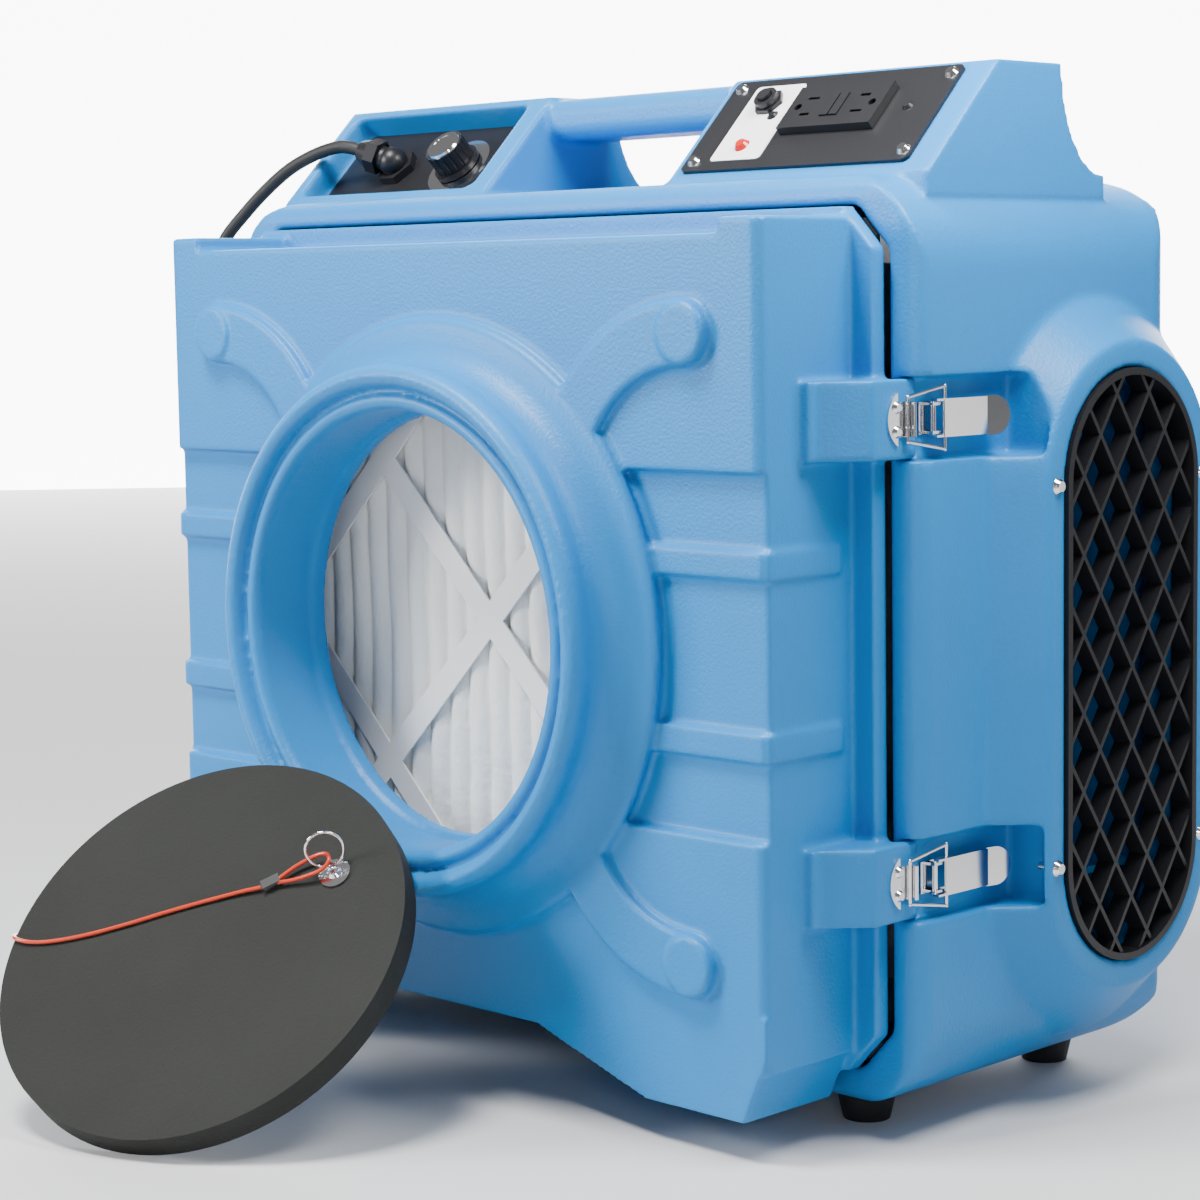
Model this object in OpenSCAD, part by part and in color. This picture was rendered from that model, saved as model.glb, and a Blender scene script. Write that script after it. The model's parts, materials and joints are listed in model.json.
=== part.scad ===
// Portable air scrubber: a moulded housing with a latched front cover, an intake collar,
// filters, a radial blower, a side outlet grille, top panels, a foam plug and a mains cord.
// Millimetres, +Z up, the intake faces -Y, the outlet is on the +X side, the floor is z = 0.

/* [Housing] */
// Width across the side walls
housing_w = 560; // [552:2:568]
// Height of the housing shell above the floor
housing_top = 513; // [510:1:516]
// Thickness of the moulded walls
wall = 5; // [4:0.5:6]
// Radius of the long corners seen from the front
corner_r = 49; // [44:1:54]
// Height of the two top blocks above the floor
block_top = 574; // [570:1:578]
// Width of the opening under the carrying handle
handle_span = 152.6; // [148:0.2:156]

/* [Front cover] */
// Width of the cover's front face
cover_w = 490; // [484:2:492]
// Depth of the band across the middle of the face
band_depth = 5.5; // [4:0.5:7]
// Radius of the intake bore
bore_r = 123.7; // [122:0.1:125]
// Outer radius of the intake collar
collar_r = 149.5; // [148:0.5:151]
// Radius of the raised ring at the collar's foot
collar_base_r = 174.6; // [172:0.2:176]

/* [Outlet] */
// Half width of the outlet opening
outlet_r = 61.5; // [58:0.5:63]
// Pitch of the lattice across the grille
lattice_y = 30; // [28:1:34]
// Pitch of the lattice up the grille
lattice_z = 43; // [40:1:46]
// Thickness of a lattice bar
bar_t = 2.4; // [2:0.2:3.2]

/* [Foam plug] */
// Radius of the foam disc
disc_r = 122.5; // [118:0.5:124]
// Thickness of the foam disc
disc_t = 16.4; // [14:0.2:18]

/* [Cord] */
// Outside diameter of the mains cord
cord_d = 8.4; // [8:0.1:9]
// Middle radius of the coil of cord
coil_r = 50.4; // [48:0.2:54]

/* [Hidden] */
$fn = 48;
eps = 0.5;
blue = [0.16, 0.45, 0.72];
black = [0.05, 0.05, 0.06];
steel = [0.75, 0.76, 0.78];
chrome = [0.8, 0.8, 0.82];
white = [0.93, 0.93, 0.91];

// Housing planes
side_x = housing_w / 2;
rim_y = -105.7;
back_y = 128.6;
base_z = 16.4;
front_edge_r = 12;
rim_depth = 8;
low_back_r = 44;
top_back_r = 27;
side_back_r = 22;
arm_rise = 6;
boss_rise = 8;
boss_r = 15.5;
foot_x = 218;
strap_screw = 48.4;
foot_ys = [-75, 88];
axis_z = 267;
rim_half = 261.5;
rim_low = 37;
rim_high = 497;
cavity_half = side_x - wall - 1;

// Top blocks and the sloping panels on them
block_in = handle_span / 2;
block_out = 266;
slope_y = -78.5;
slope_z = 514;
slope_run = block_top - slope_z;
block_back = 39.2;
block_sweep = 40;
panel_mid = 44;

// Right panel and left pocket, measured along x and up the slope
panel_x = 166.2;
panel_w = 164;
panel_h = 73;
pocket_x = -175;
pocket_w = 164;
pocket_h = 72;
pocket_d = 18;
plate_t = 2;
breaker_x = 121;
breaker_s = 59.4;
lamp_s = 25.8;
outlet_x = 177.5;
outlet_s = 49.5;
outlet_raise = 5;
knob_x = -143;
gland_x = -200;
gland_tilt = 65;

// Front cover
face_y = -187.5;
cover_half = cover_w / 2;
cover_low = 49;
cover_high = 483;
flange_y = -117;
flange_back = -106.2;
band_low = 171;
band_high = 361;
collar_y = -229;
boss_x = 195.7;
boss_dz = 165.5;

// Filters and blower
filter_half = 197;
filter_front = -149.3;
filter_back = -108.2;
hepa_front = -100;
hepa_back = -26;
bulkhead_y = -26;
impeller_y = -6;
impeller_back = 66;
impeller_r = 105;

// Outlet
grille_mid = 50.7;
grille_low = 141.1;
grille_high = 347.3;
grille_x = 305;
grille_depth = 13;
flare_wide = 46;
flare_lip = 14;

// Latches, on the right: the left ones are mirror images
latch_zs = [386, 143.5];
lug_half = 20.8;
lug_x = 272.5;
lug_end = -97;
lever_pin = [276, -87];
bail_pin = [277, -79];
bail_bar = [275.5, -107.5];
bail_wire = 1.1;

// Foam disc
disc_at = [-54.5, -322.3, 98.22];
disc_turn = 18.7;
disc_lean = 45;

// Lanyard on the disc, in the disc's own frame
lanyard_d = 2.4;
washer_at = [66, 53];
ferrule_at = [30, 42, 2.4];
ferrule_turn = 37;
lanyard_loop = [
  [34, 45, 2.6], [42, 53.5, 3.4], [52, 60, 5], [60, 61, 7], [64, 56, 7.5],
  [60, 50.5, 6], [50, 46.5, 4], [42, 44.5, 3], [34, 44, 2.6]
];
lanyard_run = [
  [25, 38.5, 2.4], [14, 35, 2], [2, 30.5, 1.6], [-14, 24, 1.4], [-30, 17, 1.4],
  [-46, 9.5, 1.4], [-62, 2.5, 1.4], [-76, -3, 1.4], [-90, -7.5, 1.4], [-103, -10.4, 1.4],
  [-113, -11, 1.6], [-121, -9.6, 1.2], [-125.5, -6, -2], [-126.5, -2, -8], [-126, 2, -14],
  [-122.5, 6, -18.4], [-114, 9, -19.4], [-104, 11, -19], [-94, 13, -18.4]
];
end_ferrule_at = [-89, 14, -18.4];
end_ring_at = [-69, 18, -18.4];

// Mains cord: out of the gland, down the left side and along the floor to the coil
cord_run = [
  [-222.6, -49.1, 547], [-230, -51.5, 549.4], [-240, -54, 550.2], [-258, -57, 546.6],
  [-279, -62, 538], [-297, -68, 525], [-313, -74, 510], [-329, -80, 492],
  [-340, -81, 470], [-346, -78, 430], [-349, -75, 380], [-350, -74, 320],
  [-350, -74, 260], [-350, -75, 200], [-350, -76, 140], [-353, -74, 92],
  [-361, -67, 54], [-374, -50, 24], [-390, -26, 9], [-404, 2, 4.8],
  [-414, 28, 4.4], [-420, 52, 4.4]
];
cord_tail_run = [
  [-392, 146, 4.4], [-376, 155, 4.4], [-358, 162, 4.4], [-340, 167, 4.4],
  [-322, 170, 4.8], [-304, 171, 8], [-290, 171, 12]
];
plug_at = [-290, 171, 12];
coil_at = [-360, 90];
coil_layers = 4;
coil_band = coil_layers * cord_d;

// ---- helpers ----

// Extrudes an outline drawn as (x, z) from y0 to y1
module along_y(y0, y1) {
  translate([0, y1, 0])
    rotate([90, 0, 0])
      linear_extrude(y1 - y0)
        children();
}

// Extrudes an outline drawn as (y, z) from x0 to x1
module along_x(x0, x1) {
  translate([x0, 0, 0])
    rotate([90, 0, 90])
      linear_extrude(x1 - x0)
        children();
}

// The waste outside a rounded corner whose centre is the origin
module corner_waste(r) {
  difference() {
    square(r + eps);
    circle(r);
  }
}

// Rectangle with its own radius at each corner: low left, low right, high right, high left
module soft_rect(low, high, radii) {
  difference() {
    translate(low)
      square(high - low);
    translate([low[0] + radii[0], low[1] + radii[0]])
      rotate(180)
        corner_waste(radii[0]);
    translate([high[0] - radii[1], low[1] + radii[1]])
      rotate(270)
        corner_waste(radii[1]);
    translate([high[0] - radii[2], high[1] - radii[2]])
      corner_waste(radii[2]);
    translate([low[0] + radii[3], high[1] - radii[3]])
      rotate(90)
        corner_waste(radii[3]);
  }
}

module round_rect(w, h, r) {
  soft_rect([-w / 2, -h / 2], [w / 2, h / 2], [r, r, r, r]);
}

// Upright slot outline, drawn as (y, z)
module slot_outline(r) {
  translate([grille_mid, grille_low])
    circle(r);
  translate([grille_mid, grille_high])
    circle(r);
  translate([grille_mid - r, grille_low])
    square([2 * r, grille_high - grille_low]);
}

// Places children on the sloping face: local y runs up the slope, local z points outward
module on_slope(x, s, depth = 0) {
  translate([x, slope_y, slope_z])
    rotate([45, 0, 0])
      translate([0, s, -depth])
        children();
}

// Pan head screw whose head sits on z = 0
module pan_screw(head_r, shank) {
  cylinder(r1 = head_r, r2 = head_r * 0.62, h = head_r * 0.55);
  translate([0, 0, -shank])
    cylinder(r = head_r * 0.5, h = shank);
}

module both_sides() {
  children();
  mirror([1, 0, 0])
    children();
}

// ---- housing ----

// Side view of a top block, with a hollow sweep down to the roof at the back; inset gives the inside
module block_outline(inset) {
  steps = 6;
  low = slope_z - 12;
  start = asin(inset / (slope_run + inset));
  curve = [for (i = [0:steps]) let (turn = start + (90 - start) * i / steps) [
    block_back + block_sweep - (block_sweep + inset) * cos(turn),
    block_top - (slope_run + inset) * sin(turn)
  ]];
  polygon(concat(
    [
      [slope_y + inset * 1.4, low],
      [slope_y + inset * 1.4, slope_z],
      [slope_y + slope_run + inset * 0.4, block_top - inset]
    ],
    curve,
    [[block_back + block_sweep, low]]
  ));
}

module housing_outside() {
  intersection() {
    along_y(rim_y, back_y)
      soft_rect([-side_x, base_z], [side_x, housing_top], [corner_r, corner_r, corner_r, corner_r]);
    along_x(-side_x, side_x)
      soft_rect([rim_y, base_z], [back_y, housing_top], [front_edge_r, low_back_r, top_back_r, front_edge_r]);
    translate([0, 0, base_z])
      linear_extrude(housing_top - base_z)
        soft_rect([-side_x, rim_y], [side_x, back_y], [front_edge_r, front_edge_r, side_back_r, side_back_r]);
  }
}

module outlet_collar() {
  intersection() {
    union() {
      for (z = [grille_low, grille_high]) {
        translate([side_x - 8, grille_mid, z])
          rotate([0, 90, 0])
            cylinder(r1 = outlet_r + flare_wide, r2 = outlet_r + flare_lip, h = grille_x - side_x + 8);
      }
      translate([0, 0, grille_low])
        linear_extrude(grille_high - grille_low)
          polygon([
            [side_x - 8, grille_mid - outlet_r - flare_wide],
            [grille_x, grille_mid - outlet_r - flare_lip],
            [grille_x, grille_mid + outlet_r + flare_lip],
            [side_x - 8, grille_mid + outlet_r + flare_wide]
          ]);
    }
    translate([side_x - 8, -80, 20])
      cube([60, back_y + 78, 470]);
  }
}

// Pocket in the side wall: a floor for the lever's base and a deeper notch for the cover's lug
module latch_pocket(z) {
  translate([lug_x - 1.5, -120, z - 22])
    cube([30, 102, 44]);
  translate([lug_x - 7.5, -120, z - 22])
    cube([30, 120 + lug_end + 0.5, 44]);
}

module latch_pocket_back(z) {
  translate([cavity_half - 10, -110, z - 28])
    cube([14, 100, 56]);
}

// The inside follows the outside's rounded edges, so that the wall is closed along all of them
module housing_inside() {
  gap = wall + 1;
  front = rim_y + rim_depth;
  intersection() {
    along_y(front, back_y - gap)
      soft_rect(
        [-cavity_half, base_z + gap],
        [cavity_half, housing_top - gap],
        [corner_r - gap, corner_r - gap, corner_r - gap, corner_r - gap]
      );
    along_x(-cavity_half, cavity_half)
      soft_rect(
        [front, base_z + gap],
        [back_y - gap, housing_top - gap],
        [front_edge_r - gap, low_back_r - gap, top_back_r - gap, front_edge_r - gap]
      );
    translate([0, 0, base_z])
      linear_extrude(housing_top - base_z)
        soft_rect(
          [-cavity_half, front],
          [cavity_half, back_y - gap],
          [front_edge_r - gap, front_edge_r - gap, side_back_r - gap, side_back_r - gap]
        );
  }
}

module housing_cavity() {
  difference() {
    union() {
      housing_inside();
      along_y(rim_y - 1, rim_y + 20)
        cover_opening();
    }
    both_sides()
      for (z = latch_zs)
        latch_pocket_back(z);
  }
}

module cover_opening() {
  polygon([
    [-rim_half + 22, rim_low], [rim_half - 22, rim_low],
    [rim_half, rim_low + 24], [rim_half, rim_high - 24],
    [rim_half - 22, rim_high], [-rim_half + 22, rim_high],
    [-rim_half, rim_high - 24], [-rim_half, rim_low + 24]
  ]);
}

module block_hollow(x0, x1) {
  along_x(x0, x1)
    block_outline(wall);
}

module handle_bar() {
  along_x(-block_in - 4, block_in + 4)
    soft_rect([-22, 547], [30, 572], [9, 9, 9, 9]);
}

module main_housing() {
  color(blue)
    difference() {
      union() {
        difference() {
          union() {
            housing_outside();
            both_sides()
              along_x(block_in, block_out)
                block_outline(0);
            outlet_collar();
          }
          housing_cavity();
          both_sides()
            block_hollow(block_in + wall, block_out - wall);
        }
        handle_bar();
        on_slope(pocket_x, panel_mid, pocket_d + 4)
          linear_extrude(pocket_d + 3)
            round_rect(pocket_w + 8, pocket_h + 8, 10);
      }
      on_slope(pocket_x, panel_mid, pocket_d)
        linear_extrude(pocket_d + 5)
          round_rect(pocket_w, pocket_h, 7);
      on_slope(pocket_x, panel_mid, pocket_d + 10)
        linear_extrude(12)
          round_rect(pocket_w - 26, pocket_h - 24, 5);
      on_slope(panel_x, panel_mid, 20)
        linear_extrude(30)
          round_rect(panel_w - 24, panel_h - 18, 5);
      along_x(side_x - 40, grille_x + 5)
        slot_outline(outlet_r);
      both_sides()
        for (z = latch_zs)
          latch_pocket(z);
      for (z = [grille_low, grille_high])
        for (side = [-1, 1])
          translate([grille_x, grille_mid + side * (outlet_r + 7), z])
            rotate([0, 90, 0])
              translate([0, 0, -14])
                cylinder(r = 2.3, h = 20);
    }
}

module rubber_feet() {
  color(black)
    both_sides()
      for (y = foot_ys)
        translate([foot_x, y, 0])
          cylinder(r1 = 13, r2 = 17, h = base_z + 0.6);
}

// ---- blower ----

module bulkhead() {
  color(steel)
    along_y(bulkhead_y, bulkhead_y + 3)
      translate([0, axis_z - 3])
        difference() {
          square([2 * cavity_half - 24, 450], center = true);
          translate([0, 3])
            circle(78);
        }
}

module inlet_ring() {
  color(chrome)
    translate([0, bulkhead_y + 3, axis_z])
      rotate([-90, 0, 0])
        rotate_extrude()
          polygon([[78, 0], [92, 0], [92, 1.5], [80, 1.5], [70, 13], [68.5, 12]]);
}

module blower_scroll() {
  color(blue)
    difference() {
      along_y(bulkhead_y + 3, back_y - wall - 8)
        union() {
          translate([0, axis_z])
            circle(148);
          translate([0, axis_z - 148])
            square([cavity_half - 12, 296]);
        }
      along_y(bulkhead_y + 6, back_y - wall - 12)
        union() {
          translate([0, axis_z])
            circle(144);
          translate([0, axis_z - 144])
            square([cavity_half, 288]);
        }
      along_y(bulkhead_y, bulkhead_y + 8)
        translate([0, axis_z])
          circle(93);
      along_y(back_y - 30, back_y)
        translate([0, axis_z])
          circle(60);
    }
}

module motor_mount() {
  color([0.6, 0.6, 0.62])
    along_y(back_y - wall - 8, back_y - wall - 1)
      translate([0, axis_z])
        difference() {
          union() {
            square([220, 40], center = true);
            square([40, 220], center = true);
            circle(66);
          }
          circle(20);
        }
}

module motor() {
  color([0.3, 0.31, 0.33])
    difference() {
      along_y(impeller_back + 6, back_y - wall - 8)
        translate([0, axis_z])
          circle(46);
      along_y(impeller_back + 5, back_y)
        translate([0, axis_z])
          circle(6.05);
    }
}

module motor_shaft() {
  color(chrome)
    along_y(impeller_y + 20, back_y - wall - 10)
      translate([0, axis_z])
        circle(6);
}

module impeller() {
  blades = 11;
  color(black)
    translate([0, 0, axis_z])
      difference() {
        union() {
          along_y(impeller_back - 3, impeller_back)
            circle(impeller_r);
          along_y(impeller_y, impeller_y + 3)
            difference() {
              circle(impeller_r);
              circle(72);
            }
          along_y(impeller_y + 20, impeller_back)
            circle(22);
          along_y(impeller_y + 2, impeller_back - 2)
            for (i = [0:blades - 1])
              rotate(i * 360 / blades)
                translate([78, 0])
                  rotate(50)
                    square([3, 62], center = true);
        }
        along_y(impeller_y, impeller_back + 1)
          circle(6);
      }
}

// ---- outlet grille ----

module outlet_grille() {
  slant = atan(lattice_z / lattice_y);
  reach = 7;
  middle = (grille_low + grille_high) / 2;
  color(black)
    union() {
      along_x(grille_x - grille_depth, grille_x + 1.5)
        difference() {
          slot_outline(outlet_r - 0.3);
          slot_outline(outlet_r - 4.3);
        }
      along_x(grille_x - grille_depth + 2, grille_x)
        intersection() {
          slot_outline(outlet_r - 2);
          union() {
            for (k = [-reach:reach])
              for (turn = [-slant, slant])
                translate([grille_mid, middle + k * lattice_z])
                  rotate(turn)
                    square([520, bar_t], center = true);
          }
        }
    }
}

module grille_screws() {
  color(chrome)
    for (z = [grille_low, grille_high])
      for (side = [-1, 1])
        translate([grille_x, grille_mid + side * (outlet_r + 7), z])
          rotate([0, 90, 0])
            pan_screw(4.6, 12);
}

// ---- left pocket: control plate, speed knob and cord gland ----

module control_plate() {
  color(black)
    on_slope(pocket_x, panel_mid, pocket_d)
      difference() {
        linear_extrude(plate_t)
          round_rect(pocket_w - 2, pocket_h - 2, 6);
        translate([knob_x - pocket_x, 0, -1])
          cylinder(r = 5, h = 5);
        translate([gland_x - pocket_x, 0, -1])
          cylinder(r = 7.8, h = 5);
      }
}

module control_screws() {
  color(chrome)
    for (dx = [-74, 74])
      for (ds = [-28, 28])
        on_slope(pocket_x + dx, panel_mid + ds, pocket_d - plate_t)
          pan_screw(3.6, 8);
}

module dial_scale() {
  color(chrome)
    on_slope(knob_x, panel_mid, pocket_d - plate_t)
      difference() {
        cylinder(r = 23, h = 0.8);
        translate([0, 0, -1])
          cylinder(r = 4, h = 4);
      }
}

module speed_controller() {
  color(black)
    on_slope(knob_x, panel_mid, pocket_d)
      difference() {
        union() {
          translate([0, 0, -20])
            cylinder(r = 14, h = 20);
          cylinder(r = 3, h = 10);
        }
        translate([0, 0, -18])
          cylinder(r = 2, h = 8);
      }
}

module speed_knob() {
  flutes = 18;
  color(black)
    on_slope(knob_x, panel_mid, pocket_d - plate_t - 1.3)
      difference() {
        union() {
          cylinder(r = 15.5, h = 3);
          translate([0, 0, 3])
            cylinder(r = 13.4, h = 14);
        }
        for (i = [0:flutes - 1])
          rotate(i * 360 / flutes)
            translate([14, 0, 4])
              cylinder(r = 1.1, h = 20);
        translate([0, 0, -1])
          cylinder(r = 3.3, h = 9);
      }
}

module knob_cap() {
  color(chrome)
    on_slope(knob_x, panel_mid, pocket_d - plate_t - 18.3)
      difference() {
        cylinder(r1 = 11.8, r2 = 11.2, h = 1.4);
        translate([0, 0, 1.2])
          cylinder(r = 8, h = 2);
      }
}

// Places children on the gland's elbow: local z runs out of its mouth, to the left
module on_gland() {
  on_slope(gland_x, panel_mid, pocket_d - plate_t - 8)
    rotate([0, -gland_tilt, 0])
      children();
}

module gland_body() {
  color(black)
    difference() {
      union() {
        on_slope(gland_x, panel_mid, pocket_d - plate_t)
          cylinder(r = 14, h = 5, $fn = 6);
        on_slope(gland_x, panel_mid, pocket_d - plate_t)
          translate([0, 0, -12])
            cylinder(r = 7.8, h = 20);
        on_gland()
          sphere(9.5);
        on_gland()
          cylinder(r = 7.8, h = 13);
      }
      on_gland()
        cylinder(d = cord_d, h = 20);
    }
}

module gland_nut() {
  color(black)
    on_gland()
      difference() {
        union() {
          translate([0, 0, 9])
            cylinder(r = 11.5, h = 8, $fn = 6);
          translate([0, 0, 17])
            cylinder(r1 = 9.8, r2 = 6.6, h = 8);
        }
        cylinder(r = 9.6, h = 10);
        cylinder(r = 7.8, h = 13);
        cylinder(d = cord_d, h = 30);
      }
}

// ---- right panel: breaker, lamp and receptacle ----

module power_panel() {
  color(black)
    on_slope(panel_x, panel_mid)
      difference() {
        linear_extrude(plate_t)
          round_rect(panel_w, panel_h, 4);
        translate([breaker_x - panel_x, breaker_s - panel_mid, -1])
          cylinder(r = 7.5, h = 5);
        translate([breaker_x - panel_x, lamp_s - panel_mid, -1])
          cylinder(r = 4.2, h = 5);
        translate([outlet_x - panel_x, outlet_s - panel_mid, -1])
          linear_extrude(5)
            square([66.8, 33], center = true);
      }
}

module panel_screws() {
  color(chrome)
    for (x = [90.5, 242])
      for (s = [15.5, 74])
        on_slope(x, s, -plate_t)
          pan_screw(4.2, 9);
}

module panel_label() {
  color(white)
    on_slope(breaker_x + 0.5, panel_mid + 0.5, -plate_t)
      difference() {
        linear_extrude(0.4)
          round_rect(37, 60, 2.5);
        translate([-0.5, breaker_s - panel_mid - 0.5, -1])
          cylinder(r = 7.5, h = 3);
        translate([-0.5, lamp_s - panel_mid - 0.5, -1])
          cylinder(r = 4.2, h = 3);
        translate([outlet_x - strap_screw - breaker_x - 0.5, outlet_s - panel_mid - 0.5, -1])
          cylinder(r = 3.6, h = 3);
      }
}

module breaker_body() {
  color(black)
    on_slope(breaker_x, breaker_s, -plate_t)
      difference() {
        union() {
          translate([0, 0, 0.4])
            cylinder(r = 9.5, h = 2.4, $fn = 6);
          translate([0, 0, 0.4])
            cylinder(r = 7.2, h = 6);
          translate([0, 0, -30])
            cylinder(r = 7.2, h = 31);
        }
        translate([0, 0, -6])
          cylinder(r = 4.6, h = 20);
      }
}

module breaker_button() {
  color([0.12, 0.12, 0.13])
    on_slope(breaker_x, breaker_s, -plate_t)
      translate([0, 0, 0.6])
        cylinder(r = 4.2, h = 8);
}

module indicator_lamp() {
  color([0.75, 0.05, 0.04])
    on_slope(breaker_x, lamp_s, -plate_t)
      union() {
        translate([0, 0, 0.4])
          cylinder(r1 = 4.8, r2 = 3, h = 2.6);
        translate([0, 0, -14])
          cylinder(r = 4, h = 15);
      }
}

module socket_slots() {
  translate([-6.3, 2])
    square([1.8, 8], center = true);
  translate([6.3, 2])
    square([2, 7], center = true);
  translate([0, -6])
    circle(2.4);
}

module receptacle() {
  color(black)
    on_slope(outlet_x, outlet_s)
      difference() {
        union() {
          translate([0, 0, -26])
            linear_extrude(26 + outlet_raise + plate_t)
              square([66.4, 32.6], center = true);
          translate([0, 0, -3])
            linear_extrude(2.5)
              square([106, 26], center = true);
        }
        for (side = [-1, 1])
          translate([side * 20.5, 0, outlet_raise + plate_t - 9])
            linear_extrude(20)
              rotate(side * 90)
                socket_slots();
        translate([0, 0, outlet_raise + plate_t - 5])
          linear_extrude(10)
            square([13.2, 18], center = true);
        translate([breaker_x - outlet_x, breaker_s - outlet_s, -10])
          cylinder(r = 8.2, h = 9.9);
      }
}

module receptacle_screws() {
  color(chrome)
    for (dx = [-strap_screw, strap_screw])
      on_slope(outlet_x + dx, outlet_s, -plate_t)
        pan_screw(3.2, 5.4);
}

module test_button() {
  color([0.1, 0.1, 0.11])
    on_slope(outlet_x - 3.3, outlet_s, -outlet_raise - plate_t)
      translate([0, 0, -3])
        linear_extrude(3.8)
          square([5.6, 17], center = true);
}

module reset_button() {
  color([0.1, 0.1, 0.11])
    on_slope(outlet_x + 3.3, outlet_s, -outlet_raise - plate_t)
      translate([0, 0, -3])
        linear_extrude(3.8)
          square([5.6, 17], center = true);
}

// ---- front cover ----

module cover_face_outline() {
  translate([-cover_half, cover_low])
    square([cover_w, cover_high - cover_low]);
  for (side = [-1, 1])
    translate([side * (cover_half - 14), cover_high])
      square([28, 16], center = true);
}

module cover_leg() {
  difference() {
    along_y(face_y, flange_y)
      polygon([
        [68, cover_low + 2], [85, 45], [157, 22], [229, 22],
        [cover_half, 58], [cover_half, 80], [68, 80]
      ]);
    translate([0, face_y, cover_low])
      rotate([-42, 0, 0])
        translate([60, -60, -60])
          cube([200, 60, 60]);
    along_y(face_y + 6, flange_back + 1)
      polygon([
        [76, cover_low + 8], [90, 51], [158, 28], [226, 28],
        [cover_half - 6, 60], [cover_half - 6, 90], [76, 90]
      ]);
  }
}

// One arm: an arc from the collar's foot to a round boss
module cover_arm() {
  arm_r = 92;
  width = 34;
  translate([boss_x, axis_z + boss_dz - arm_r])
    difference() {
      intersection() {
        difference() {
          circle(arm_r + width / 2);
          circle(arm_r - width / 2);
        }
        translate([-140, 0])
          square([140, 140]);
      }
      rotate(62)
        translate([-200, -200])
          square([200, 400]);
    }
  translate([boss_x, axis_z + boss_dz])
    circle(width / 2);
}

// Arms, with a higher round boss at the end of each
module cover_arms() {
  for (flip = [0, 1])
    translate([0, 0, axis_z * flip * 2])
      mirror([0, 0, flip]) {
        along_y(face_y - arm_rise, face_y + 3)
          difference() {
            both_arms();
            translate([0, axis_z])
              circle(collar_r);
          }
        both_sides()
          translate([boss_x, face_y, axis_z + boss_dz])
            rotate([90, 0, 0])
              cylinder(r = boss_r, h = boss_rise);
      }
}

module both_arms() {
  cover_arm();
  mirror([1, 0])
    cover_arm();
}

// Foot, concave flare, round rim, groove and inner bead, drawn as (radius, height off the face)
module collar_profile() {
  collar_height = face_y - collar_y;
  polygon([
    [collar_base_r - 3, 0], [collar_base_r, 0], [collar_base_r, 3], [collar_base_r - 2, 5.5],
    [168, 6.5], [160, 9.5], [154, 14], [150, 20], [148.5, 26],
    [collar_r, 31], [collar_r, 35], [147.5, 39.5], [143.5, collar_height], [139.5, 40.5],
    [137, 37], [135.5, 31.5], [133.5, 31.5], [132.5, 34.5], [129.5, 36.5], [126, 35], [bore_r, 31],
    [bore_r, -10], [bore_r + 6, -10], [bore_r + 6, 0]
  ]);
}

module collar() {
  translate([0, face_y, axis_z])
    rotate([90, 0, 0])
      rotate_extrude($fn = 96)
        union() {
          collar_profile();
          translate([bore_r - 3, -16])
            square([10, 10]);
        }
}

module cover_lug(z) {
  translate([0, 0, z - lug_half])
    linear_extrude(2 * lug_half)
      polygon([
        [cover_half - 8, -162], [cover_half + 7, -157], [cover_half + 7, -152], [lug_x, -132],
        [lug_x, lug_end], [lug_x - 7, lug_end], [lug_x - 7, -106.8], [cover_half - 8, -108]
      ]);
}

module cover_ribs() {
  for (z = [220, 314])
    difference() {
      union() {
        translate([-cover_half + 2, face_y + 1.5, z - 7.5])
          cube([cover_w - 4, 8, 15]);
        both_sides()
          translate([cover_half - 3, face_y + 3, z - 7.5])
            cube([5.2, 58, 15]);
      }
      translate([0, face_y + 20, axis_z])
        rotate([90, 0, 0])
          cylinder(r = collar_r, h = 40);
    }
}

module cover_shell() {
  color(blue)
    difference() {
      union() {
        intersection() {
          along_y(face_y, flange_y + 1)
            cover_face_outline();
          translate([0, 0, cover_low])
            linear_extrude(460)
              soft_rect([-cover_half, face_y], [cover_half, flange_back], [6, 6, 0.5, 0.5]);
        }
        along_y(flange_y, flange_back)
          polygon([
            [-240, 38], [240, 38], [260.5, 60], [260.5, 474],
            [240, 496], [-240, 496], [-260.5, 474], [-260.5, 60]
          ]);
        both_sides()
          cover_leg();
      }
      difference() {
        translate([-cover_half - 1, face_y - 1, band_low])
          cube([cover_w + 2, band_depth + 1, band_high - band_low]);
        translate([0, face_y + 20, axis_z])
          rotate([90, 0, 0])
            cylinder(r = collar_base_r - 2, h = 40);
      }
      translate([-cover_half + wall + 1, face_y + band_depth + wall, cover_low + wall + 1])
        cube([cover_w - 2 * wall - 2, 100, cover_high - cover_low - 2 * wall - 2]);
      translate([0, face_y + 30, axis_z])
        rotate([90, 0, 0])
          cylinder(r = bore_r + 3, h = 60);
    }
}

module front_cover() {
  color(blue)
    union() {
      cover_shell();
      difference() {
        union() {
          cover_arms();
          cover_ribs();
        }
        translate([0, face_y + 30, axis_z])
          rotate([90, 0, 0])
            cylinder(r = bore_r + 3, h = 60);
      }
      collar();
      both_sides()
        for (z = latch_zs)
          cover_lug(z);
    }
}

module cover_gasket() {
  color(black)
    along_y(flange_back, rim_y + 3)
      difference() {
        intersection() {
          span_rect(254, 490, 44);
          cover_opening();
        }
        span_rect(244, 480, 54);
      }
}

module span_rect(half, high, low) {
  translate([-half, low])
    square([2 * half, high - low]);
}

// ---- filters ----

module filter_tray() {
  color(steel)
    along_y(filter_front + 1, flange_back - 0.4)
      difference() {
        span_rect(232, 474, 60);
        span_rect(filter_half + 0.2, axis_z + filter_half + 0.2, axis_z - filter_half - 0.2);
      }
}

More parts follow.
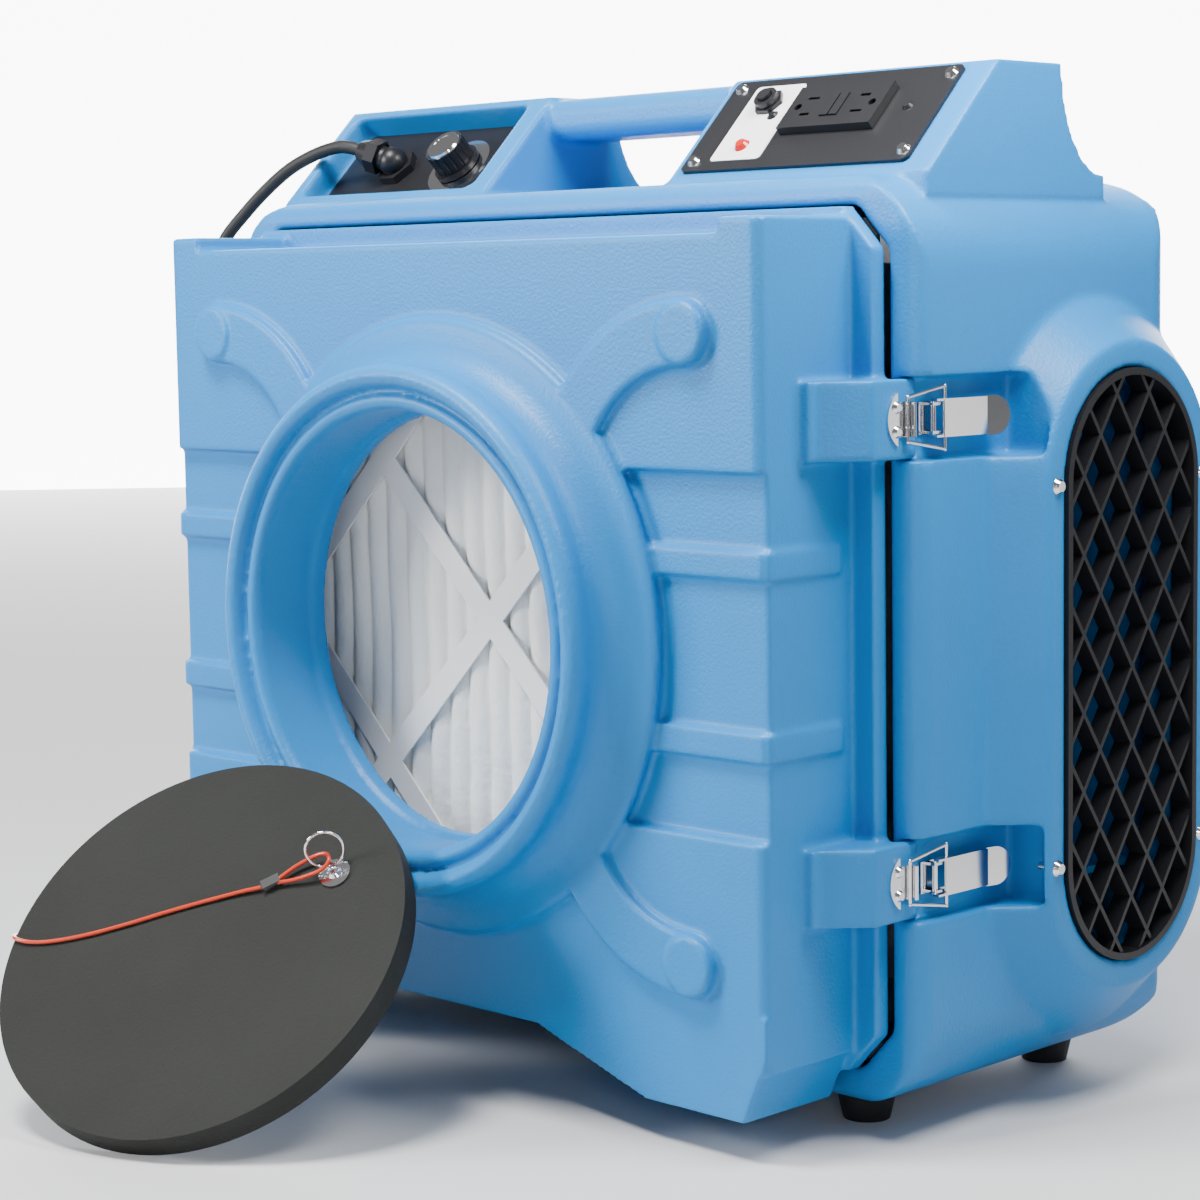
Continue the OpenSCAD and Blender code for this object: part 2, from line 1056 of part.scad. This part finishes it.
module pre_filter_frame() {
  color(white)
    union() {
      along_y(filter_front, filter_back)
        difference() {
          span_rect(filter_half, axis_z + filter_half, axis_z - filter_half);
          span_rect(filter_half - 2, axis_z + filter_half - 2, axis_z - filter_half + 2);
        }
      along_y(filter_front, filter_front + 1.2)
        translate([0, axis_z])
          union() {
            difference() {
              square(2 * filter_half, center = true);
              square(2 * filter_half - 44, center = true);
            }
            for (a = [45, 135])
              rotate(a)
                square([2 * filter_half + 60, 15.2], center = true);
            difference() {
              rotate(45)
                square(2 * 136.5, center = true);
              rotate(45)
                square(2 * 121.5, center = true);
            }
          }
    }
}

module pre_filter_media() {
  pitch = 17.5;
  count = 22;
  half = filter_half - 2.3;
  rise = 9;
  start = -pitch * count / 2;
  front = [for (i = [0:2 * count]) [
    start + i * pitch / 2,
    filter_front + 2.4 + (i % 2) * rise
  ]];
  behind = [for (i = [2 * count:-1:0]) [
    start + i * pitch / 2,
    filter_back - 2 - (i % 2 == 0 ? rise : 0)
  ]];
  color(white)
    translate([0, 0, axis_z - half])
      linear_extrude(2 * half)
        polygon(concat(front, behind));
}

module hepa_frame() {
  color(steel)
    along_y(hepa_front, hepa_back)
      translate([0, axis_z])
        difference() {
          square(2 * filter_half + 6, center = true);
          square(2 * filter_half - 18, center = true);
        }
}

module hepa_media() {
  color(white)
    along_y(hepa_front + 4, hepa_back - 4)
      translate([0, axis_z])
        square(2 * filter_half - 18, center = true);
}

// ---- latches, drawn for the right side at height 0 ----

module keeper() {
  keeper_y = -121;
  lip_y = 17;
  translate([lug_x, keeper_y, 0])
    difference() {
      union() {
        rotate([0, 90, 0])
          linear_extrude(1.2)
            union() {
              intersection() {
                translate([0, 16])
                  circle(16);
                translate([-14, 0])
                  square([28, 8]);
              }
              translate([-9, 7])
                square([18, lip_y - 6]);
            }
        for (z = [-6.3, 6.3])
          translate([1, 7, z])
            rotate([0, 90, 0])
              cylinder(r1 = 3.4, r2 = 2, h = 1.9);
        translate([0, lip_y - 0.6, -9])
          cube([5, 1.2, 18]);
        translate([5.4, lip_y - 1, -9])
          cylinder(r = 1.2, h = 18);
      }
      translate([-2, -10, -20])
        cube([2, 40, 40]);
    }
}

module lever_base() {
  x0 = lug_x - 1.5;
  difference() {
    union() {
      translate([x0, -94.5, -8.5])
        cube([1.4, 28, 17]);
      for (side = [-1, 1])
        translate([x0, lever_pin[1] - 3.4, side * 7.4 - 0.7])
          cube([7.4, 7.4, 1.4]);
    }
    translate([lever_pin[0], lever_pin[1], -20])
      cylinder(r = 1.55, h = 40);
  }
}

module latch_lever() {
  x0 = 279.2;
  difference() {
    union() {
      translate([lever_pin[0], lever_pin[1], -9.8])
        cylinder(r = 1.5, h = 19.6);
      for (side = [-1, 1])
        translate([lever_pin[0] - 2.4, lever_pin[1] - 2, side * 9.4 - 0.6])
          cube([6.6, 14.4, 1.2]);
      translate([x0, lever_pin[1] + 4, -10])
        cube([1.3, 36, 20]);
      translate([x0, lever_pin[1] + 40, 0])
        rotate([0, 0, -14])
          union() {
            translate([0, -1, -10.5])
              cube([1.3, 6, 21]);
            translate([0, 5, 0])
              rotate([0, 90, 0])
                cylinder(r = 10.5, h = 1.3);
          }
    }
    translate([bail_pin[0], bail_pin[1], -20])
      cylinder(r = bail_wire + 0.05, h = 40);
  }
}

module wire(a, b, r) {
  run = b - a;
  length = norm(run);
  translate(a)
    rotate([0, acos(run[2] / length), atan2(run[1], run[0])])
      cylinder(r = r, h = length);
}

module latch_bail() {
  pin = [bail_pin[0], bail_pin[1], 0];
  bar = [bail_bar[0], bail_bar[1], 0];
  low = 11.5;
  high = 16.5;
  for (side = [-1, 1]) {
    wire(pin + [0, 0, side * 8.4], pin + [0, 0, side * high], bail_wire);
    wire(pin + [0, 0, side * high], bar + [0, 0, side * low], bail_wire);
    translate(pin + [0, 0, side * high])
      sphere(bail_wire + 0.15);
    translate(bar + [0, 0, side * low])
      sphere(bail_wire + 0.15);
  }
  wire(bar - [0, 0, low], bar + [0, 0, low], bail_wire);
}

module at_latch(side, z) {
  mirror([side < 0 ? 1 : 0, 0, 0])
    translate([0, 0, z])
      children();
}

module latch_keepers() {
  color(chrome)
    for (side = [-1, 1])
      for (z = latch_zs)
        at_latch(side, z)
          keeper();
}

module latch_bases() {
  color(chrome)
    for (side = [-1, 1])
      for (z = latch_zs)
        at_latch(side, z)
          lever_base();
}

module lever(side, index) {
  color(chrome)
    at_latch(side, latch_zs[index])
      latch_lever();
}

module bail(side, index) {
  color(chrome)
    at_latch(side, latch_zs[index])
      latch_bail();
}

// ---- foam plug and its lanyard ----

// Places children on the disc: local z is the outward face, local y runs up the disc
module on_disc() {
  translate(disc_at)
    rotate([0, 0, disc_turn])
      rotate([90 - disc_lean, 0, 0])
        children();
}

module plug_disc() {
  color([0.22, 0.23, 0.23])
    on_disc()
      translate([0, 0, -disc_t])
        cylinder(r = disc_r, h = disc_t);
}

module disc_washer() {
  color(chrome)
    on_disc()
      translate([washer_at[0], washer_at[1], 0])
        union() {
          cylinder(r = 9.2, h = 1.2);
          translate([0, 0, 1.2])
            cylinder(r1 = 4.2, r2 = 2.6, h = 1.6);
          translate([0, 0, 2.4])
            rotate([90, 0, 30])
              rotate_extrude()
                translate([2.8, 0])
                  circle(0.8);
          translate([0, 0, -disc_t + 2])
            cylinder(r = 1.5, h = disc_t);
        }
}

module split_ring() {
  color(chrome)
    on_disc()
      translate([washer_at[0] - 5.4, washer_at[1] + 8.2, 10.8])
        rotate([0, 0, 33])
          rotate([66, 0, 0])
            rotate_extrude()
              translate([10.6, 0])
                circle(0.9);
}

module end_ring() {
  color(chrome)
    on_disc()
      translate(end_ring_at)
        rotate_extrude()
          translate([9, 0])
            circle(0.9);
}

module lanyard_ferrules() {
  color(chrome)
    on_disc()
      union() {
        translate(ferrule_at)
          rotate([0, 0, ferrule_turn])
            cube([11, 6, 4], center = true);
        translate(end_ferrule_at)
          rotate([0, 0, 12])
            cube([11, 6, 3.6], center = true);
      }
}

// ---- swept tubes ----

// A point on the smooth curve through four neighbours
function spline_point(a, b, c, d, t) =
  0.5 * (2 * b + (c - a) * t + (2 * a - 5 * b + 4 * c - d) * t * t + (3 * b - a - 3 * c + d) * t * t * t);

function at_limit(list, i) = list[max(0, min(len(list) - 1, i))];

function smooth_run(list, per) = concat(
  [for (i = [0:len(list) - 2]) for (k = [0:per - 1])
    spline_point(at_limit(list, i - 1), list[i], list[i + 1], at_limit(list, i + 2), k / per)],
  [list[len(list) - 1]]
);

function unit(v) = v / norm(v);

function run_heading(run, i) = unit(at_limit(run, i + 1) - at_limit(run, i - 1));

function ring_points(run, i, r, sides, guide) =
  let (ahead = run_heading(run, i), across = unit(cross(ahead, guide)), over = cross(across, ahead))
  [for (k = [0:sides - 1]) run[i] + r * (cos(360 * k / sides) * across + sin(360 * k / sides) * over)];

// A tube along a list of points; guide is a direction that the run never follows
module tube(points, r, sides, guide, per) {
  run = smooth_run(points, per);
  last = len(run) - 1;
  rings = [for (i = [0:last]) ring_points(run, i, r, sides, guide)];
  corners = [for (ring = rings) for (p = ring) p];
  walls = [for (i = [0:last - 1]) for (k = [0:sides - 1])
    let (n = (k + 1) % sides)
    [i * sides + k, i * sides + n, (i + 1) * sides + n, (i + 1) * sides + k]];
  first_cap = [for (k = [sides - 1:-1:0]) k];
  last_cap = [for (k = [0:sides - 1]) last * sides + k];
  polyhedron(points = corners, faces = concat(walls, [first_cap, last_cap]), convexity = 10);
}

module lanyard_wire() {
  color([0.8, 0.15, 0.08])
    on_disc()
      union() {
        tube(lanyard_loop, lanyard_d / 2, 8, [0.1, 0.1, 1], 2);
        tube(lanyard_run, lanyard_d / 2, 8, [0.2, 1, 0.1], 2);
      }
}

module cord_tube() {
  color(black)
    tube(cord_run, cord_d / 2, 12, [0.7, 0, -0.7], 2);
}

module cord_tail() {
  color(black)
    tube(cord_tail_run, cord_d / 2, 12, [0, 0, 1], 2);
}

module cord_coil() {
  color(black)
    translate([coil_at[0], coil_at[1], 0])
      rotate_extrude($fn = 72)
        translate([coil_r - coil_band / 2, 0.1])
          soft_rect([0, 0], [coil_band, coil_band], [4, 4, 4, 4]);
}

module cord_tie() {
  color([0.12, 0.12, 0.12])
    translate([coil_at[0] - coil_r, coil_at[1], coil_band / 2 + 0.1])
      difference() {
        cube([coil_band + 3.2, 9, coil_band + 3.2], center = true);
        cube([coil_band, 12, coil_band], center = true);
        translate([0, 0, -coil_band / 2 - 2])
          cube([60, 20, 3.8], center = true);
      }
}

module cord_plug() {
  color(black)
    translate(plug_at)
      rotate([0, 90, 0])
        union() {
          cylinder(r1 = 6, r2 = 9, h = 26);
          translate([0, 0, 26])
            cylinder(r1 = 11, r2 = 11.9, h = 20);
          translate([0, 0, 46])
            cylinder(r = 11.9, h = 4);
        }
}

module plug_blades() {
  color([0.8, 0.7, 0.4])
    translate(plug_at)
      rotate([0, 90, 0])
        translate([0, 0, 50])
          union() {
            for (side = [-1, 1])
              translate([-2.6 - 3.1, side * 6.3 - 0.75, 0])
                cube([6.2, 1.5, 17]);
            translate([6.4, 0, 0])
              cylinder(r = 2.4, h = 20);
          }
}

// ---- what is drawn ----

main_housing();
rubber_feet();
bulkhead();
inlet_ring();
blower_scroll();
motor_mount();
motor();
motor_shaft();
impeller();
speed_controller();
outlet_grille();
grille_screws();
control_plate();
control_screws();
dial_scale();
speed_knob();
knob_cap();
gland_body();
gland_nut();
power_panel();
panel_screws();
panel_label();
breaker_body();
breaker_button();
indicator_lamp();
receptacle();
receptacle_screws();
test_button();
reset_button();
front_cover();
cover_gasket();
filter_tray();
pre_filter_frame();
pre_filter_media();
hepa_frame();
hepa_media();
latch_keepers();
latch_bases();
lever(1, 0);  // lever_right_upper
lever(1, 1);  // lever_right_lower
lever(-1, 0);  // lever_left_upper
lever(-1, 1);  // lever_left_lower
bail(1, 0);  // bail_right_upper
bail(1, 1);  // bail_right_lower
bail(-1, 0);  // bail_left_upper
bail(-1, 1);  // bail_left_lower
plug_disc();
disc_washer();
split_ring();
lanyard_wire();
lanyard_ferrules();
end_ring();
cord_tube();
cord_coil();
cord_tie();
cord_tail();
cord_plug();
plug_blades();
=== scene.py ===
import bpy
import json
import math
from mathutils import Matrix, Vector

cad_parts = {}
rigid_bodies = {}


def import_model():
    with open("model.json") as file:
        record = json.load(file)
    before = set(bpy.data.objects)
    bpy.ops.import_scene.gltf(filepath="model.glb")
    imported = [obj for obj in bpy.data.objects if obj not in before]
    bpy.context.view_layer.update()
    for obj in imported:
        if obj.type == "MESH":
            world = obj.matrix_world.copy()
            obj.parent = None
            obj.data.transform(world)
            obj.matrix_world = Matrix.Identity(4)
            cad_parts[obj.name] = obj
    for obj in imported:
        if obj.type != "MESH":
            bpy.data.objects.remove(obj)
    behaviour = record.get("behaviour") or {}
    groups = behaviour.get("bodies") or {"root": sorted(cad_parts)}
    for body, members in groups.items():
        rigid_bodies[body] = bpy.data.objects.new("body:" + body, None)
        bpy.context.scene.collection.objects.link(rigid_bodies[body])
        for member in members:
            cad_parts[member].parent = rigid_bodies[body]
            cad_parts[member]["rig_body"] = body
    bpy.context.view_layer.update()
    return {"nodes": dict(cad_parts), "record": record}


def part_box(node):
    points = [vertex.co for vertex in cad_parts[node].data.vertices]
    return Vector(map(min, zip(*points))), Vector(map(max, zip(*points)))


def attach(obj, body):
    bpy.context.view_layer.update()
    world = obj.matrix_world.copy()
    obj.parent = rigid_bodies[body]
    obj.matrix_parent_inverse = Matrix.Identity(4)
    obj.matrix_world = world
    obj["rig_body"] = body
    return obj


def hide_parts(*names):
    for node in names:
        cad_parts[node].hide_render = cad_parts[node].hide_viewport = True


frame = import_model()
nodes = frame["nodes"]

# ---- camera: a long lens seen from the front right, slightly above ----
AZ, EL, ROLL = math.radians(45.223), math.radians(6.114), math.radians(-0.928)
back = Vector((math.sin(AZ) * math.cos(EL), -math.cos(AZ) * math.cos(EL), math.sin(EL)))
right0 = Vector((math.cos(AZ), math.sin(AZ), 0))
up0 = back.cross(right0)
right = right0 * math.cos(ROLL) + up0 * math.sin(ROLL)
up = up0 * math.cos(ROLL) - right0 * math.sin(ROLL)
cam_data = bpy.data.cameras.new("camera")
cam_data.lens = 85.94
cam_data.sensor_width = 36
cam = bpy.data.objects.new("camera", cam_data)
m = Matrix((right, up, back)).transposed().to_4x4()
m.translation = Vector((1.21064, -1.26062, 0.4533))
cam.matrix_world = m
bpy.context.scene.collection.objects.link(cam)
bpy.context.scene.camera = cam


# ---- materials ----
def material(name, color, rough, metal=0.0, coat=0.0, bump=None, variation=0.0):
    mt = bpy.data.materials.new(name)
    mt.use_nodes = True
    nt = mt.node_tree
    b = nt.nodes["Principled BSDF"]
    b.inputs["Base Color"].default_value = (*color, 1)
    b.inputs["Roughness"].default_value = rough
    b.inputs["Metallic"].default_value = metal
    b.inputs["Specular IOR Level"].default_value = 0.35
    b.inputs["Coat Weight"].default_value = coat
    tc = nt.nodes.new("ShaderNodeTexCoord")
    if variation:
        ns = nt.nodes.new("ShaderNodeTexNoise")
        ns.inputs["Scale"].default_value = 9
        ns.inputs["Detail"].default_value = 5
        nt.links.new(tc.outputs["Object"], ns.inputs["Vector"])
        mix = nt.nodes.new("ShaderNodeMix")
        mix.data_type = "RGBA"
        mix.inputs[6].default_value = (*[c * (1 - variation) for c in color], 1)
        mix.inputs[7].default_value = (*[min(1, c * (1 + variation)) for c in color], 1)
        nt.links.new(ns.outputs["Fac"], mix.inputs[0])
        nt.links.new(mix.outputs[2], b.inputs["Base Color"])
    if bump:
        scale, dist, strength = bump
        n2 = nt.nodes.new("ShaderNodeTexNoise")
        n2.inputs["Scale"].default_value = scale
        n2.inputs["Detail"].default_value = 3
        nt.links.new(tc.outputs["Object"], n2.inputs["Vector"])
        bp = nt.nodes.new("ShaderNodeBump")
        bp.inputs["Distance"].default_value = dist
        bp.inputs["Strength"].default_value = strength
        nt.links.new(n2.outputs["Fac"], bp.inputs["Height"])
        nt.links.new(bp.outputs["Normal"], b.inputs["Normal"])
    return mt


MATS = {
    "housing_blue": material(
        "housing_blue", (0.006, 0.2, 0.52), 0.43, bump=(560, 0.0007, 0.4), variation=0.06),
    "rubber_black": material("rubber_black", (0.012, 0.012, 0.013), 0.55, bump=(300, 0.0003, 0.2)),
    "sheet_steel": material("sheet_steel", (0.5, 0.51, 0.53), 0.35, 1.0),
    "chrome": material("chrome", (0.78, 0.78, 0.8), 0.12, 1.0, bump=(60, 0.0003, 0.05)),
    "motor_grey": material("motor_grey", (0.06, 0.065, 0.07), 0.45),
    "plastic_black": material("plastic_black", (0.009, 0.009, 0.011), 0.38, bump=(500, 0.0003, 0.2)),
    "label_white": material("label_white", (0.85, 0.85, 0.85), 0.4),
    "lamp_red": material("lamp_red", (0.5, 0.015, 0.01), 0.15, coat=0.5),
    "card_white": material("card_white", (0.86, 0.86, 0.85), 0.7, bump=(300, 0.0003, 0.1)),
    "filter_white": material(
        "filter_white", (0.88, 0.89, 0.86), 0.9, bump=(140, 0.002, 0.5), variation=0.05),
    "filter_metal": material("filter_metal", (0.6, 0.61, 0.63), 0.35, 1.0),
    "foam_grey": material(
        "foam_grey", (0.017, 0.018, 0.016), 0.9, bump=(500, 0.0009, 0.5), variation=0.3),
    "lanyard_red": material("lanyard_red", (0.55, 0.045, 0.015), 0.25, coat=0.4),
    "brass": material("brass", (0.6, 0.5, 0.28), 0.3, 1.0),
}
slots = {s["node"]: s["material_slot"] for s in frame["record"]["subparts"]}
for name, ob in nodes.items():
    ob.data.materials.clear()
    ob.data.materials.append(MATS[slots[name]])


# ---- cords: the CAD tubes' routes, in metres ----
CORD_RUN = [
    (-0.2226, -0.0491, 0.547), (-0.23, -0.0515, 0.5494),
    (-0.24, -0.054, 0.5502), (-0.258, -0.057, 0.5466),
    (-0.279, -0.062, 0.538), (-0.297, -0.068, 0.525), (-0.313, -0.074, 0.51), (-0.329, -0.08, 0.492),
    (-0.34, -0.081, 0.47), (-0.346, -0.078, 0.43), (-0.349, -0.075, 0.38), (-0.35, -0.074, 0.32),
    (-0.35, -0.074, 0.26), (-0.35, -0.075, 0.2), (-0.35, -0.076, 0.14), (-0.353, -0.074, 0.092),
    (-0.361, -0.067, 0.054), (-0.374, -0.05, 0.024), (-0.39, -0.026, 0.009), (-0.404, 0.002, 0.0048),
    (-0.414, 0.028, 0.0044), (-0.42, 0.052, 0.0044)]
CORD_TAIL = [(-0.322, 0.17, 0.0048), (-0.304, 0.171, 0.008), (-0.29, 0.171, 0.012)]
COIL_AT = (-0.36, 0.09)
CORD_D = 0.0084
COIL_R = 0.0504
COIL_LOW = 0.0043
COIL_START = 165
COIL_LAYERS = 4
COIL_STEP = 1 / 6
PER_TURN = 36


def spline_points(points, per=6):
    out = []
    n = len(points)
    for i in range(n - 1):
        p = [Vector(points[max(0, min(n - 1, i + k))]) for k in (-1, 0, 1, 2)]
        for j in range(per):
            t = j / per
            out.append(0.5 * (2 * p[1] + (p[2] - p[0]) * t
                              + (2 * p[0] - 5 * p[1] + 4 * p[2] - p[3]) * t * t
                              + (3 * p[1] - p[0] - 3 * p[2] + p[3]) * t ** 3))
    out.append(Vector(points[-1]))
    return out


def polar(degrees, r, z):
    a = math.radians(degrees)
    return Vector((COIL_AT[0] + r * math.cos(a), COIL_AT[1] + r * math.sin(a), z))


def coil_points():
    """Four layers of four turns; the last sixth of each turn steps to the next one."""
    radii = [COIL_R + CORD_D * k for k in (1.5, 0.5, -0.5, -1.5)]
    cells = []
    for layer in range(COIL_LAYERS):
        row = radii if layer % 2 == 0 else radii[::-1]
        cells += [(r, COIL_LOW + CORD_D * layer) for r in row]
    out = []
    for n, (r, z) in enumerate(cells):
        r2, z2 = cells[min(n + 1, len(cells) - 1)]
        for k in range(PER_TURN):
            u = k / PER_TURN
            t = max(0.0, (u - 1 + COIL_STEP) / COIL_STEP)
            t = t * t * (3 - 2 * t)
            out.append(polar(COIL_START - 360 * u, r + (r2 - r) * t, z + (z2 - z) * t))
    out.append(polar(COIL_START, *cells[-1]))
    return out


def tube(name, points, diameter, mat, body):
    cu = bpy.data.curves.new(name, "CURVE")
    cu.dimensions = "3D"
    cu.bevel_depth = diameter / 2
    cu.bevel_resolution = 4
    cu.use_fill_caps = True
    sp = cu.splines.new("POLY")
    sp.points.add(len(points) - 1)
    for q, p in zip(sp.points, points):
        q.co = (*p, 1)
    ob = bpy.data.objects.new(name, cu)
    bpy.context.scene.collection.objects.link(ob)
    ob.data.materials.append(mat)
    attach(ob, body)
    return ob


leave = [polar(140, 0.064, 0.0295), polar(125, 0.0675, 0.029), polar(110, 0.0716, 0.027),
         polar(97, 0.0745, 0.0215), polar(85, 0.078, 0.0135), polar(74, 0.0815, 0.007)]
enter = [polar(198, 0.0685, COIL_LOW), polar(182, 0.0653, COIL_LOW)]
coil = coil_points()
mains_points = (spline_points(CORD_RUN + [tuple(p) for p in enter] + [tuple(coil[0])])[:-1]
                + coil[:-1]
                + spline_points([tuple(coil[-1])] + [tuple(p) for p in leave] + CORD_TAIL))
mains = tube("mains_cord", mains_points, CORD_D, MATS["rubber_black"], "housing")
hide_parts("cord_tube", "cord_coil", "cord_tail")

DISC = (Matrix.Translation((-0.0545, -0.3223, 0.09822)) @ Matrix.Rotation(math.radians(18.7), 4, "Z")
        @ Matrix.Rotation(math.radians(45), 4, "X"))
WIRE_D = 0.0024
WIRE_LOOP = [(34, 45, 2.6), (42, 53.5, 3.4), (52, 60, 5), (60, 61, 7), (64, 56, 7.5),
             (60, 50.5, 6), (50, 46.5, 4), (42, 44.2, 3), (34.5, 42.4, 2.6)]
WIRE_RUN = [(25, 38.5, 2.4), (14, 35, 2), (2, 30.5, 1.6), (-14, 24, 1.4), (-30, 17, 1.4), (-46, 9.5, 1.4),
            (-62, 2.5, 1.4), (-76, -3, 1.4), (-90, -7.5, 1.4), (-103, -10.4, 1.4), (-113, -11, 1.6),
            (-121, -9.6, 1.2), (-125.5, -6, -2), (-126.5, -2, -8), (-126, 2, -14), (-122.5, 6, -18.4),
            (-114, 9, -19.4), (-104, 11, -19), (-94, 13, -18.4)]


def on_disc(points):
    return [DISC @ (Vector(p) / 1000) for p in points]


for name, route, far, going in (("lanyard_run", WIRE_RUN, "fitting", ["end_ring"]),
                                ("lanyard_loop", WIRE_LOOP, "fitting", ["lanyard_ferrules"])):
    pts = spline_points([tuple(p) for p in on_disc(route)])
    wire = tube(name, pts, WIRE_D, MATS["lanyard_red"], "plug")
    if name == "lanyard_run":
        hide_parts("lanyard_wire")


# ---- moulded shells: the CAD solid rounded the way a rotational moulding is ----
def moulded(node, voxel, rounds):
    src = nodes[node]
    me = src.data.copy()
    ob = bpy.data.objects.new("moulded_" + node, me)
    bpy.context.scene.collection.objects.link(ob)
    remesh = ob.modifiers.new("r", "REMESH")
    remesh.mode = "VOXEL"
    remesh.voxel_size = voxel
    soften = ob.modifiers.new("s", "SMOOTH")
    soften.factor = 0.5
    soften.iterations = rounds
    dg = bpy.context.evaluated_depsgraph_get()
    new = bpy.data.meshes.new_from_object(ob.evaluated_get(dg))
    ob.modifiers.clear()
    ob.data = new
    new.materials.clear()
    new.materials.append(MATS["housing_blue"])
    for p in new.polygons:
        p.use_smooth = True
    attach(ob, src["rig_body"])
    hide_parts(node)
    return ob


SHELLS = {"main_housing": (0.002, 5), "front_cover": (0.0016, 4)}
for name, (voxel, rounds) in SHELLS.items():
    moulded(name, voxel, rounds)

for name, ob in nodes.items():
    if name in SHELLS:
        continue
    for p in ob.data.polygons:
        p.use_smooth = True
    edge = ob.modifiers.new("bevel", "BEVEL")
    edge.width = 0.0004
    edge.segments = 2
    edge.limit_method = "ANGLE"
    edge.angle_limit = math.radians(40)
    ob.data.set_sharp_from_angle(angle=math.radians(35))

# ---- pleated filter paper: rounded folds that wander a little ----
PLEAT = 0.0175
PLEAT_DEPTH = 0.0052
PLEAT_SHARPNESS = 0.55
box_lo, box_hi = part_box("pre_filter_media")
cols, rows = 300, 50
verts, faces = [], []
for j in range(rows + 1):
    z = box_lo.z + (box_hi.z - box_lo.z) * j / rows
    for i in range(cols + 1):
        x = box_lo.x + (box_hi.x - box_lo.x) * i / cols
        wander = 0.0009 * math.sin(23 * z + 9 * x) + 0.0005 * math.sin(61 * z + 40 * x)
        fold = abs(math.cos(math.pi * (x + wander) / PLEAT))
        verts.append((x, box_lo.y + 0.0005 + PLEAT_DEPTH * (1 - fold ** PLEAT_SHARPNESS), z))
for j in range(rows):
    for i in range(cols):
        a = j * (cols + 1) + i
        faces.append((a, a + 1, a + cols + 2, a + cols + 1))
paper = bpy.data.meshes.new("pleated_paper")
paper.from_pydata(verts, [], faces)
for p in paper.polygons:
    p.use_smooth = True
paper.materials.append(MATS["filter_white"])
pleats = bpy.data.objects.new("pleated_paper", paper)
bpy.context.scene.collection.objects.link(pleats)
thick = pleats.modifiers.new("thick", "SOLIDIFY")
thick.thickness = 0.0008
thick.offset = -1
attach(pleats, "housing")
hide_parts("pre_filter_media")

# ---- stage and light ----
me = bpy.data.meshes.new("floor")
me.from_pydata([(-6, -6, 0), (6, -6, 0), (6, 6, 0), (-6, 6, 0)], [], [(0, 1, 2, 3)])
floor = bpy.data.objects.new("floor", me)
bpy.context.scene.collection.objects.link(floor)
floor.data.materials.append(material("floor", (0.6, 0.6, 0.6), 0.9))
world = bpy.context.scene.world or bpy.data.worlds.new("world")
bpy.context.scene.world = world
world.use_nodes = True
wt = world.node_tree
ramp = wt.nodes.new("ShaderNodeValToRGB")
ramp.color_ramp.elements[0].position = 0.42
ramp.color_ramp.elements[0].color = (0.7, 0.72, 0.75, 1)
ramp.color_ramp.elements[1].position = 0.75
ramp.color_ramp.elements[1].color = (1, 1, 1, 1)
coords = wt.nodes.new("ShaderNodeTexCoord")
split = wt.nodes.new("ShaderNodeSeparateXYZ")
shift = wt.nodes.new("ShaderNodeMath")
shift.operation = "MULTIPLY_ADD"
shift.inputs[1].default_value = 0.5
shift.inputs[2].default_value = 0.5
wt.links.new(coords.outputs["Generated"], split.inputs[0])
wt.links.new(split.outputs["Z"], shift.inputs[0])
wt.links.new(shift.outputs[0], ramp.inputs[0])
wt.links.new(ramp.outputs[0], wt.nodes["Background"].inputs[0])
wt.nodes["Background"].inputs[1].default_value = 0.22


def area(name, at, to, size, power):
    d = bpy.data.lights.new(name, "AREA")
    d.size = size
    d.energy = power
    o = bpy.data.objects.new(name, d)
    o.location = at
    o.rotation_euler = (Vector(to) - Vector(at)).to_track_quat("-Z", "Y").to_euler()
    bpy.context.scene.collection.objects.link(o)


LIGHTS = [
    # name, at, aimed at, size, watts
    ("key", (-0.1, -0.7, 1.55), (0, -0.15, 0.5), 0.4, 40),
    ("side", (0.5, -0.08, 0.88), (0.28, -0.05, 0.4), 0.3, 8.5),
    ("sheen", (1.3, 0.95, 0.4), (0.28, -0.08, 0.38), 0.5, 0.9),
    ("outlet", (1.32, -1.1, 0.5), (0.2, 0.08, 0.25), 0.25, 3.5),
    ("front", (-1.3, -1.9, 1.0), (0, -0.2, 0.4), 0.7, 53),
]
for light in LIGHTS:
    area(*light)

# Wider than the main view needs, for views a little to either side
BACKDROP_AWAY = 7.0
BACKDROP_HALF = 4.0
backdrop_mesh = bpy.data.meshes.new("backdrop")
centre = cam.matrix_world.translation - back * BACKDROP_AWAY
across = right0 * BACKDROP_HALF
rise = Vector((0, 0, BACKDROP_HALF))
corners = [centre - across - rise, centre + across - rise, centre + across + rise, centre - across + rise]
backdrop_mesh.from_pydata(corners, [], [(0, 1, 2, 3)])
backdrop = bpy.data.objects.new("backdrop", backdrop_mesh)
bpy.context.scene.collection.objects.link(backdrop)
glow = material("backdrop", (1, 1, 1), 1.0)
glow.node_tree.nodes["Principled BSDF"].inputs["Emission Color"].default_value = (1, 1, 1, 1)
glow.node_tree.nodes["Principled BSDF"].inputs["Emission Strength"].default_value = 9
backdrop.data.materials.append(glow)
